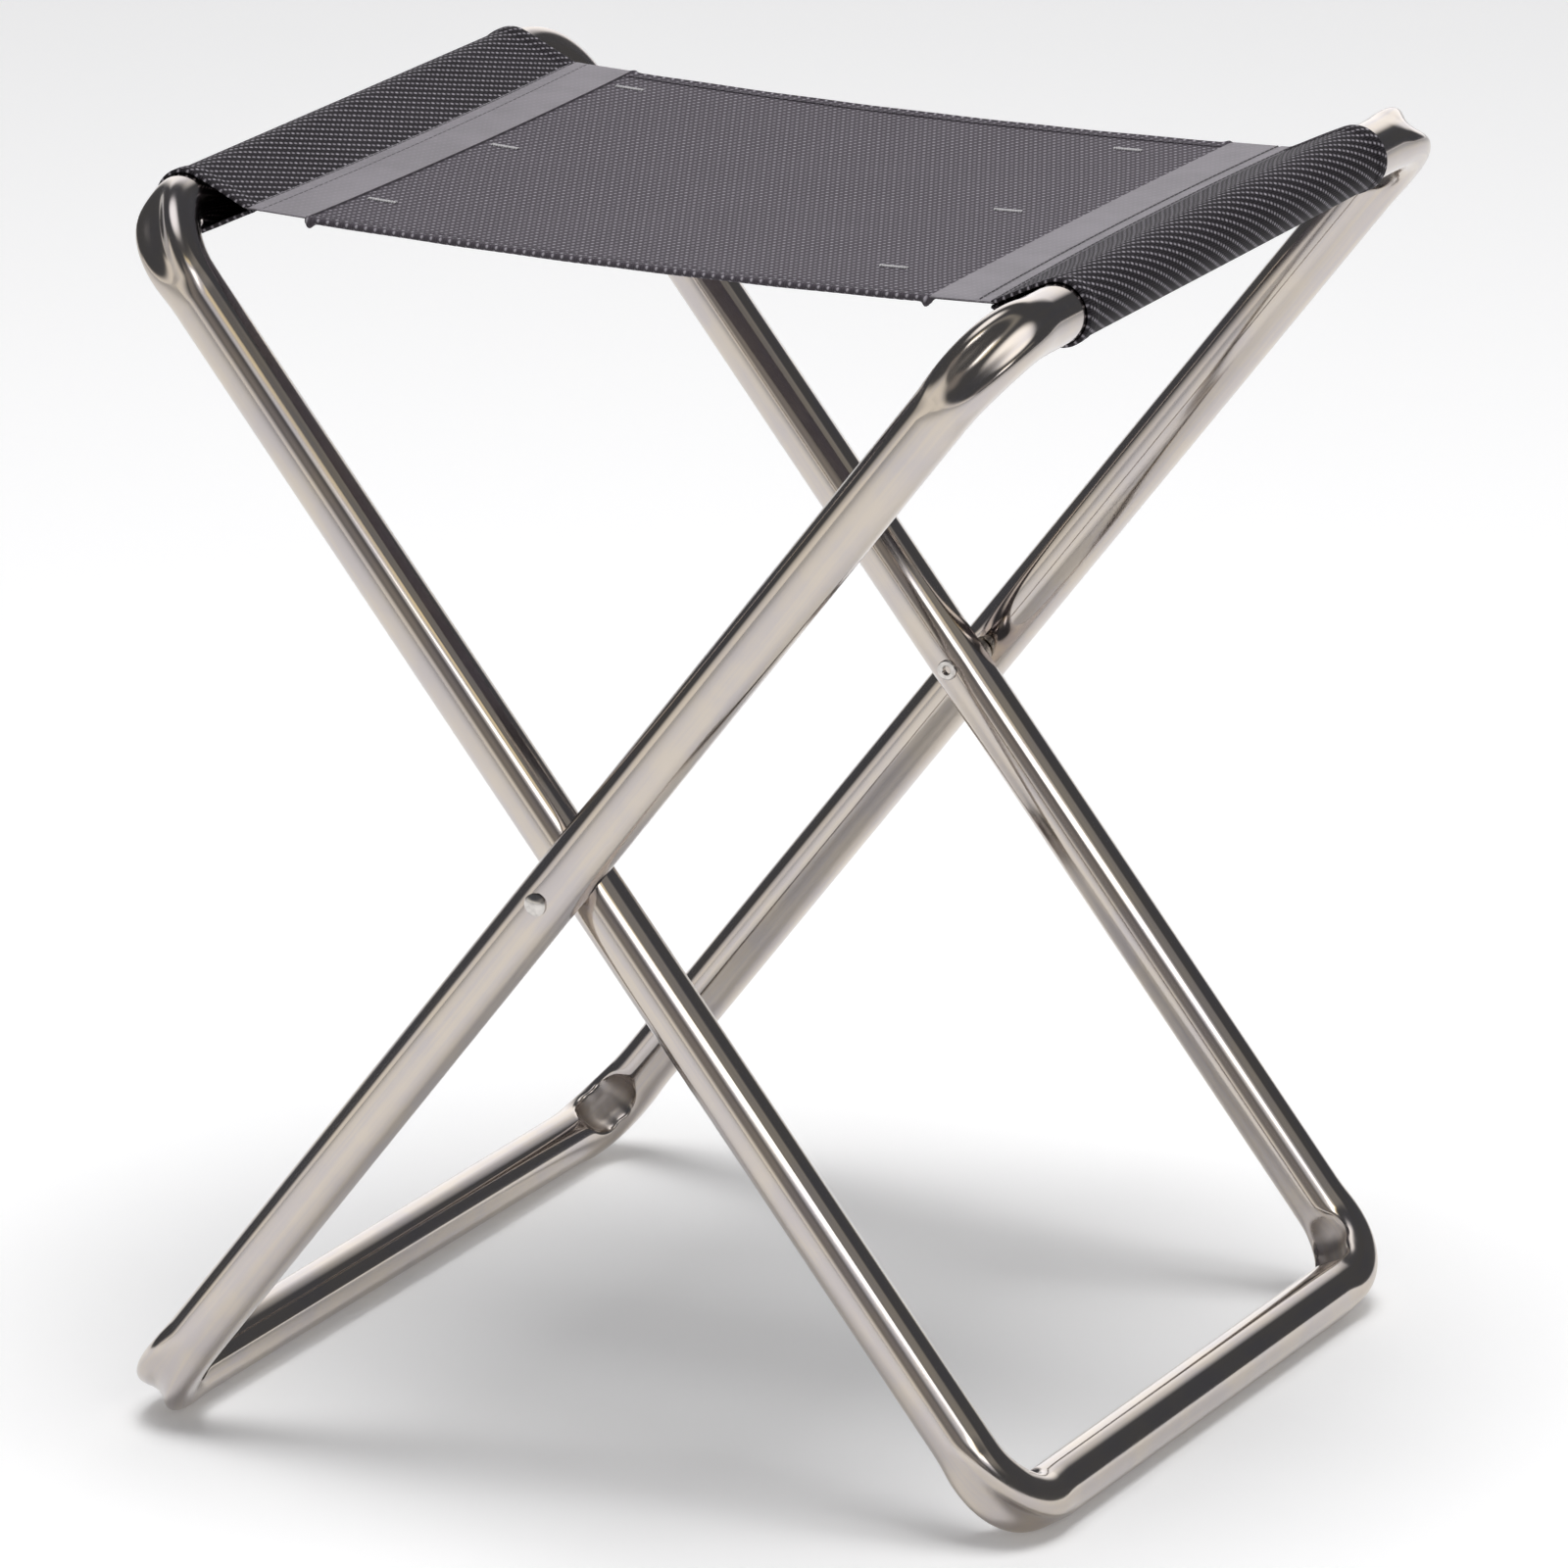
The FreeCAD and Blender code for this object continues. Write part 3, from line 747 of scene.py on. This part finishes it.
def sleeve(side):
    """The cloth loop round a top bar, with a folded hem at each mouth."""
    path, length = sleeve_path()
    mouth = SEAT_HALF - MOUTH_HEM
    y = np.concatenate([
        np.linspace(-SEAT_HALF, -mouth, 14), np.linspace(-mouth, mouth, ALONG_STEPS)[1:-1],
        np.linspace(mouth, SEAT_HALF, 14)])
    near_seam = np.exp(-((path[:, 0] - SEAM_X) / (12 * MM)) ** 2)
    x = path[:, 0][:, None] + near_seam[:, None] * seam_bow(y)[None, :]
    z = path[:, 1][:, None] + 0 * y[None, :]
    wide = np.broadcast_to(y[None, :], x.shape)
    middle = np.stack([x, wide, z], axis=2)
    run = SEAM_X + length
    uv = np.stack([np.broadcast_to(run[:, None], x.shape), wide], axis=2)
    edge = smoothstep(mouth - 0.5 * MM, mouth + 1.0 * MM, np.abs(y))
    past = ((np.abs(y) - (SEAT_HALF - MOUTH_ROLL)) / (1.02 * MOUTH_ROLL)).clip(0, 1)
    rolled = np.sqrt(np.clip(1 - past ** 2, 0.01, 1))
    groove = GROOVE * np.exp(-(((np.abs(y) - mouth - MOUTH_ROW) / GROOVE_REACH) ** 2))
    above = (CLOTH / 2 + MOUTH_FOLD * edge - groove) * rolled
    below = np.full_like(y, CLOTH / 2 - 0.02 * MM) * rolled
    grid = (middle, uv)
    above = np.broadcast_to(above[None, :], x.shape)
    below = np.broadcast_to(below[None, :], x.shape)
    piece = add_cloth("bar_sleeve_look_" + SIDE_NAME[side], side, grid, above, below, SLEEVE_CLOTH,
                      ["bar_sleeve_" + SIDE_NAME[side]], 60)
    return piece, length[-1]


def tape(side):
    """The pale tape over the seam, with two sewn channels, which are shallow on the left."""
    grid = strip_grid(TAPE_INNER, TAPE_OUTER, -SEAT_HALF, SEAT_HALF, 60, 90)
    middle, uv = grid
    x = uv[:, :, 0]
    lift = PANEL_THICK / 2 + CLOTH / 2 + CLOTH_GAP
    deep = GROOVE if side > 0 else SHALLOW_GROOVE
    grooves = sum(deep * np.exp(-(((x - row) / GROOVE_REACH) ** 2)) for row in SEAM_ROWS)
    middle[:, :, 2] += lift - grooves
    ends = 1 - 0.35 * smoothstep(SEAT_HALF - 2 * MM, SEAT_HALF, np.abs(uv[:, :, 1]))
    thick = CLOTH / 2 * ends
    return add_cloth("seam_tape_look_" + SIDE_NAME[side], side, grid, thick, thick, TAPE,
                     ["seam_tape_" + SIDE_NAME[side]], 50)


def flap(side):
    """The sleeve's return flap, under the panel."""
    half = SEAT_HALF - HEM_WIDTH
    grid = strip_grid(FLAP_END, SEAM_X - 0.5 * MM, -half, half, 34, 60)
    middle, uv = grid
    middle[:, :, 2] -= PANEL_THICK / 2 + CLOTH / 2 + CLOTH_GAP
    thick = np.full(middle.shape[:2], CLOTH / 2)
    return add_cloth("sleeve_flap_look_" + SIDE_NAME[side], side, grid, thick, thick, PANEL_CLOTH_PAINTED_LIGHTER,
                     ["sleeve_flap_" + SIDE_NAME[side]], 50)


def thread_piece(start, end, radius, arch):
    """One stitch: a short thread between two points, bowed upward."""
    up = np.array([0.0, 0.0, 1.0])
    way = end - start
    length = np.linalg.norm(way)
    way /= length
    across = np.cross(way, up)
    rings, turns = 7, 8
    points = []
    for i in range(rings):
        t = i / (rings - 1)
        centre = start + way * length * t + up * arch * math.sin(math.pi * t)
        size = radius * math.sqrt(max(0.06, 1 - (2 * t - 1) ** 4))
        for k in range(turns):
            a = 2 * math.pi * k / turns
            points.append(centre + size * (across * math.cos(a) + up * math.sin(a)))
    faces = grid_faces(rings, turns, close_columns=True)
    faces.append(tuple(reversed(range(turns))))
    faces.append(tuple(range((rings - 1) * turns, rings * turns)))
    return points, faces


def gather(pieces):
    points, faces = [], []
    for more, more_faces in pieces:
        faces += [tuple(i + len(points) for i in f) for f in more_faces]
        points += list(more)
    return points, faces


STITCH = 3.2 * MM
STITCH_GAP = 0.3 * MM
STITCH_R = 0.26 * MM
STITCH_ARCH = 0.05 * MM
TAPE_STITCH_LIFT = {1: 0.12 * MM, -1: -0.12 * MM}
OUTER_ROW_LIFT = 0.1 * MM    # the outer row of the tape lies this much higher
HEM_STITCH_LIFT = 0.62 * MM


def surface_top(x, y, lift):
    """A point above the middle of the cloth, by a given lift."""
    flat_x = np.array(x)
    height = float(seat_height(flat_x, np.array(y)))
    return np.array([float(flat_x + bow_at(flat_x, y)), y, height + lift])


def stitch(x, y, to_x, to_y, lift, radius=STITCH_R, arch=STITCH_ARCH):
    """A thread that lies on the cloth between two places."""
    return thread_piece(surface_top(x, y, lift), surface_top(to_x, to_y, lift), radius, arch)


def stitching(side):
    """Lockstitch rows along the tape and along both hems. The left tape's rows are sunk in it."""
    made = []
    tape_lift = PANEL_THICK / 2 + CLOTH + TAPE_STITCH_LIFT[side]
    for number, x in enumerate(SEAM_ROWS):
        lift = tape_lift + (OUTER_ROW_LIFT if number else 0.0)
        for y in np.arange(-SEAT_HALF + 2 * MM, SEAT_HALF - STITCH, STITCH + STITCH_GAP):
            made.append(stitch(x, y, x, y + STITCH, lift))
    for edge in (-1, 1):
        y = edge * (SEAT_HALF - HEM_WIDTH + HEM_ROW)
        for x in np.arange(0.3 * MM, TAPE_INNER - STITCH, STITCH + STITCH_GAP):
            made.append(stitch(x, y, x + STITCH, y, HEM_STITCH_LIFT))
    points, faces = gather(made)
    points, faces = mirrored(points, faces, side)
    return new_object("stitching_look_" + SIDE_NAME[side], points, faces, BODY[side], THREAD,
                      ["stitching_" + SIDE_NAME[side]])


TACK_LENGTH = 11 * MM
TACK_WIDTH = 2.3 * MM
TACK_THREADS = 21
CORE_OFFSET = 0.35 * MM      # of each underlying thread from the tack's middle
CORE_LIFT, CORE_R, CORE_ARCH = 0.15 * MM, 0.3 * MM, 0.1 * MM
ZIGZAG_LEAN = 0.25 * MM
ZIGZAG_LIFT, ZIGZAG_R, ZIGZAG_ARCH = 0.1 * MM, 0.27 * MM, 0.42 * MM


def tacks(side):
    """Bars of close zigzag stitching over two underlying threads."""
    made = []
    start, end = TACK_X[side] - TACK_LENGTH / 2, TACK_X[side] + TACK_LENGTH / 2
    low = PANEL_THICK / 2
    for y in TACK_Y:
        for offset in (-CORE_OFFSET, CORE_OFFSET):
            made.append(stitch(start, y + offset, end, y + offset, low + CORE_LIFT, CORE_R, CORE_ARCH))
        for k in range(TACK_THREADS):
            x = start + TACK_LENGTH * k / (TACK_THREADS - 1)
            lean = ZIGZAG_LEAN * (1 if k % 2 else -1)
            width = TACK_WIDTH / 2 * (1 + 0.12 * math.sin(2.3 * k))
            made.append(stitch(x - lean, y - width, x + lean, y + width, low + ZIGZAG_LIFT,
                               ZIGZAG_R, ZIGZAG_ARCH))
    points, faces = gather(made)
    points, faces = mirrored(points, faces, side)
    return new_object("tacks_look_" + SIDE_NAME[side], points, faces, BODY[side], TACK,
                      ["tacks_" + SIDE_NAME[side]])


for side in (1, -1):
    name = SIDE_NAME[side]
    cloth = panel(side)
    hems = [hem(side, -1), hem(side, 1)]
    loop, around = sleeve(side)
    band = tape(side)
    under = flap(side)
    rows = stitching(side)
    bars = tacks(side)


# ---------------------------------------------------------------- floor, light and camera

def floor():
    size = 14.0
    mesh = bpy.data.meshes.new("floor")
    corners = [(-size, -size, 0), (size, -size, 0), (size, size, 0), (-size, size, 0)]
    mesh.from_pydata(corners, [], [(0, 1, 2, 3)])
    material = bpy.data.materials.new("floor")
    tree, shader = node_tree(material)
    shader.inputs["Base Color"].default_value = (0.93, 0.93, 0.93, 1)
    shader.inputs["Emission Color"].default_value = (1.0, 0.99, 0.98, 1)
    shader.inputs["Emission Strength"].default_value = 0.15
    shader.inputs["Roughness"].default_value = 0.9
    shader.inputs["Specular IOR Level"].default_value = 0.1
    mesh.materials.append(material)
    plane = bpy.data.objects.new("floor", mesh)
    bpy.context.scene.collection.objects.link(plane)


def area_light(name, azimuth, elevation, distance, size, radiance, mirrored_too=True):
    """A soft box that faces the stool, and whether the tubes mirror it. The azimuth is measured
    from +X towards +Y, in degrees.
    """
    light = bpy.data.lights.new(name, "AREA")
    light.shape = "RECTANGLE"
    light.size, light.size_y = size
    light.energy = radiance * math.pi * size[0] * size[1]
    box = bpy.data.objects.new(name, light)
    box.visible_glossy = mirrored_too
    a, e = math.radians(azimuth), math.radians(elevation)
    out = Vector((math.cos(a) * math.cos(e), math.sin(a) * math.cos(e), math.sin(e)))
    box.location = Vector((0, 0, PIVOT_Z)) + out * distance
    box.rotation_euler = out.to_track_quat("Z", "Y").to_euler()
    bpy.context.scene.collection.objects.link(box)


def world_zone(tree, direction, z, azimuth, half_width, low, high, soft):
    """How far a direction lies inside a patch of the studio's walls, all angles in degrees."""
    a = math.radians(azimuth)
    dot = tree.nodes.new("ShaderNodeVectorMath")
    dot.operation = "DOT_PRODUCT"
    dot.inputs[1].default_value = (math.cos(a), math.sin(a), 0)
    tree.links.new(direction, dot.inputs[0])
    wide = range_node(tree, dot.outputs["Value"], math.cos(math.radians(half_width + soft)),
                      math.cos(math.radians(max(half_width - soft, 1))))
    under = range_node(tree, z, math.sin(math.radians(high + soft)), math.sin(math.radians(high - soft)))
    over = range_node(tree, z, math.sin(math.radians(low - soft)), math.sin(math.radians(low + soft)))
    return math_node(tree, "MULTIPLY", wide, math_node(tree, "MULTIPLY", under, over))


# The walls of the studio: azimuth, half width, lowest and highest elevation, softness, colour.
WALLS = (
    (-120, 44, -60, 7, 6, (1.02, 0.99, 0.94)),
    (112, 23, -60, 33, 8, (1.40, 1.39, 1.40)),
    (2, 20, 34, 44, 6, (0.34, 0.33, 0.31)),
    (-70, 14, 8, 24, 8, (0.30, 0.28, 0.27)),
    (-38, 17, 25, 38, 5, (0.85, 0.86, 0.90)),
    (-38, 14, 37.5, 42, 2, (1.25, 1.08, 0.68)),
)
CEILING = (1.7, 1.7, 1.72)
CEILING_EDGE = 58
CEILING_FULL = 82
DARK_WALL = (0.085, 0.088, 0.097)
LOW_WALL = (0.95, 0.93, 0.91)


def studio():
    """A dark room, pale below the floor's level, with patches on its walls and a bright ceiling.
    The camera sees it white.
    """
    world = bpy.data.worlds.new("studio")
    bpy.context.scene.world = world
    world.use_nodes = True
    tree = world.node_tree
    place = tree.nodes.new("ShaderNodeTexCoord")
    split = tree.nodes.new("ShaderNodeSeparateXYZ")
    tree.links.new(place.outputs["Generated"], split.inputs[0])
    flat = tree.nodes.new("ShaderNodeCombineXYZ")
    tree.links.new(split.outputs[0], flat.inputs[0])
    tree.links.new(split.outputs[1], flat.inputs[1])
    unit = tree.nodes.new("ShaderNodeVectorMath")
    unit.operation = "NORMALIZE"
    tree.links.new(flat.outputs[0], unit.inputs[0])
    direction, z = unit.outputs[0], split.outputs[2]
    colour = mix_colour(tree, range_node(tree, z, 0.03, -0.03), DARK_WALL, LOW_WALL)
    for azimuth, half_width, low, high, soft, wall in WALLS:
        zone = world_zone(tree, direction, z, azimuth, half_width, low, high, soft)
        colour = mix_colour(tree, zone, colour, wall)
    overhead = range_node(tree, z, math.sin(math.radians(CEILING_EDGE)), math.sin(math.radians(CEILING_FULL)))
    colour = mix_colour(tree, overhead, colour, CEILING)
    seen = tree.nodes.new("ShaderNodeLightPath")
    colour = mix_colour(tree, seen.outputs["Is Camera Ray"], colour, (1.0, 1.0, 1.0))
    tree.links.new(colour, tree.nodes["Background"].inputs["Color"])


CAMERA_AZIMUTH = 27.58
CAMERA_ELEVATION = 17.19
CAMERA_ROLL = -0.33
CAMERA_DISTANCE = 4.318
CAMERA_TARGET = Vector((2.4 * MM, 0, 224.7 * MM))
CAMERA_LENS = 264.99


def camera():
    data = bpy.data.cameras.new("camera")
    data.lens = CAMERA_LENS
    data.sensor_width = 36
    data.clip_start, data.clip_end = 0.1, 100
    view = bpy.data.objects.new("camera", data)
    a, e = math.radians(CAMERA_AZIMUTH), math.radians(CAMERA_ELEVATION)
    back = Vector((math.sin(a) * math.cos(e), -math.cos(a) * math.cos(e), math.sin(e)))
    right = (-back).cross(Vector((0, 0, 1))).normalized()
    up = right.cross(-back)
    roll = math.radians(CAMERA_ROLL)
    right, up = right * math.cos(roll) + up * math.sin(roll), up * math.cos(roll) - right * math.sin(roll)
    turn = Matrix((right, up, back)).transposed().to_4x4()
    view.matrix_world = Matrix.Translation(CAMERA_TARGET + back * CAMERA_DISTANCE) @ turn
    bpy.context.scene.collection.objects.link(view)
    bpy.context.scene.camera = view


floor()
studio()
area_light("overhead", 0, 88, 3.0, (2.0, 2.0), 5.6, mirrored_too=False)
area_light("softbox", -38, 31.5, 3.0, (1.15, 0.42), 2.1)
camera()
bpy.context.scene.view_settings.view_transform = "Standard"
